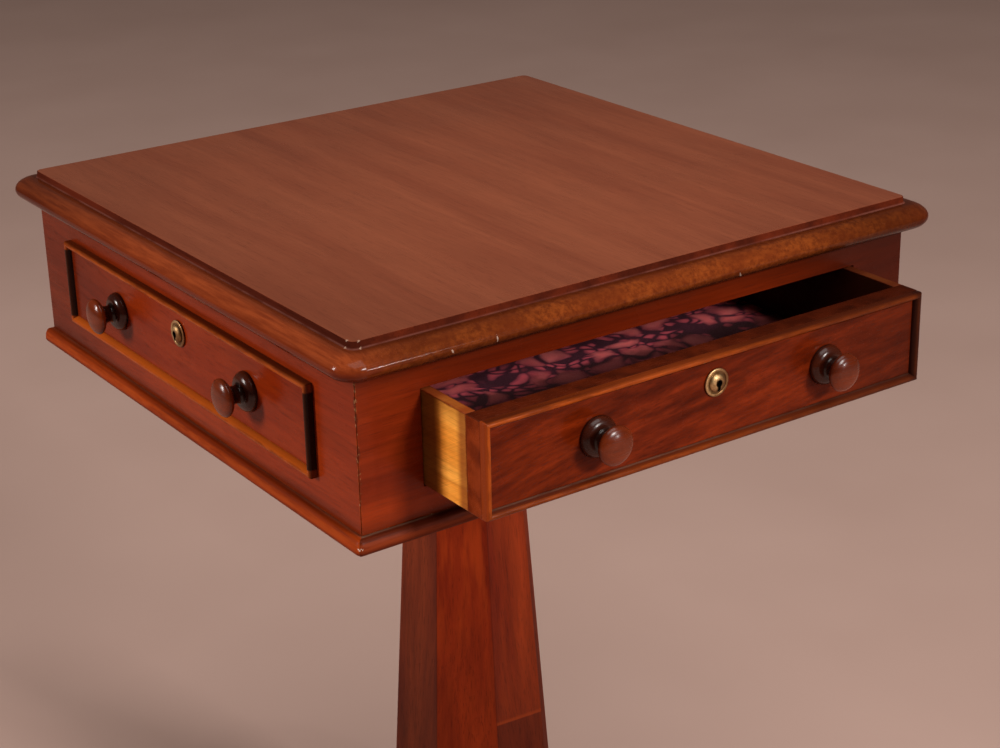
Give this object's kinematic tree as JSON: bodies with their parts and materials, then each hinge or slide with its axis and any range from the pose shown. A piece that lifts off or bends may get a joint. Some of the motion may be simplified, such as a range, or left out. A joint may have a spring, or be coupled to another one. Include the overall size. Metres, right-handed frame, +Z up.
{
  "type": "occasional table",
  "caption": "Square mahogany pedestal table with a moulded top, a sliding frieze drawer, matching dummy drawers, turned knobs and a tapered octagonal column on a platform base.",
  "frame": {"origin": "centre of the bounding box on the floor, with the drawer open as pictured; the column's axis is 33.7 mm behind it", "axes": "+Z up, -Y out of the drawer's front, +X to the right of someone facing the drawer"},
  "size_m": [0.5536, 0.621, 0.73],
  "materials": {
    "top_mahogany": "waxed and worn french polish",
    "case_mahogany": "french polished",
    "bead_mahogany": "french polished",
    "knob_mahogany": "turned and polished",
    "pedestal_mahogany": "french polished",
    "secondary_wood": "bare and aged",
    "pine": "oiled by age",
    "brass": "tarnished",
    "screw_steel": "dulled",
    "marbled_paper": "matt marbled lining paper"
  },
  "bodies": {
    "table": {"top_board": "top_mahogany", "front_left_stile": "case_mahogany", "front_right_stile": "case_mahogany", "front_top_rail": "case_mahogany", "front_bottom_rail": "case_mahogany", "left_side": "case_mahogany", "right_side": "case_mahogany", "rear_apron": "case_mahogany", "front_bottom_moulding": "bead_mahogany", "right_bottom_moulding": "bead_mahogany", "rear_bottom_moulding": "bead_mahogany", "left_bottom_moulding": "bead_mahogany", "left_dummy_front": "case_mahogany", "right_dummy_front": "case_mahogany", "rear_dummy_front": "case_mahogany", "left_dummy_bead": "bead_mahogany", "right_dummy_bead": "bead_mahogany", "rear_dummy_bead": "bead_mahogany", "left_dummy_left_knob": "knob_mahogany", "left_dummy_right_knob": "knob_mahogany", "right_dummy_left_knob": "knob_mahogany", "right_dummy_right_knob": "knob_mahogany", "rear_dummy_left_knob": "knob_mahogany", "rear_dummy_right_knob": "knob_mahogany", "left_dummy_escutcheon": "brass", "right_dummy_escutcheon": "brass", "rear_dummy_escutcheon": "brass", "left_drawer_runner": "secondary_wood", "right_drawer_runner": "secondary_wood", "left_kicker": "secondary_wood", "right_kicker": "secondary_wood", "drawer_stop": "secondary_wood", "left_bearer": "secondary_wood", "right_bearer": "secondary_wood", "pedestal_block": "secondary_wood", "front_left_block_screw": "screw_steel", "front_right_block_screw": "screw_steel", "rear_left_block_screw": "screw_steel", "rear_right_block_screw": "screw_steel", "column": "pedestal_mahogany", "platform_base": "pedestal_mahogany", "front_left_foot": "pedestal_mahogany", "front_right_foot": "pedestal_mahogany", "rear_left_foot": "pedestal_mahogany", "rear_right_foot": "pedestal_mahogany"},
    "drawer": {"drawer_front": "case_mahogany", "drawer_top_bead": "bead_mahogany", "drawer_bottom_bead": "bead_mahogany", "drawer_left_bead": "bead_mahogany", "drawer_right_bead": "bead_mahogany", "drawer_left_side": "pine", "drawer_right_side": "pine", "drawer_back": "pine", "drawer_bottom": "pine", "drawer_lining": "marbled_paper", "drawer_left_knob": "knob_mahogany", "drawer_right_knob": "knob_mahogany", "drawer_escutcheon": "brass", "lock_case": "brass"},
    "lock_bolt": {"lock_bolt": "brass"}
  },
  "joints": [
    {"name": "drawer_slide", "type": "slide", "parent": "table", "child": "drawer", "axis": [0, -1, 0], "range_m": [-0.0674, 0.25]},
    {"name": "lock_bolt_slide", "type": "slide", "parent": "drawer", "child": "lock_bolt", "axis": [0, 0, 1], "range_m": [0, 0.012]}
  ]
}
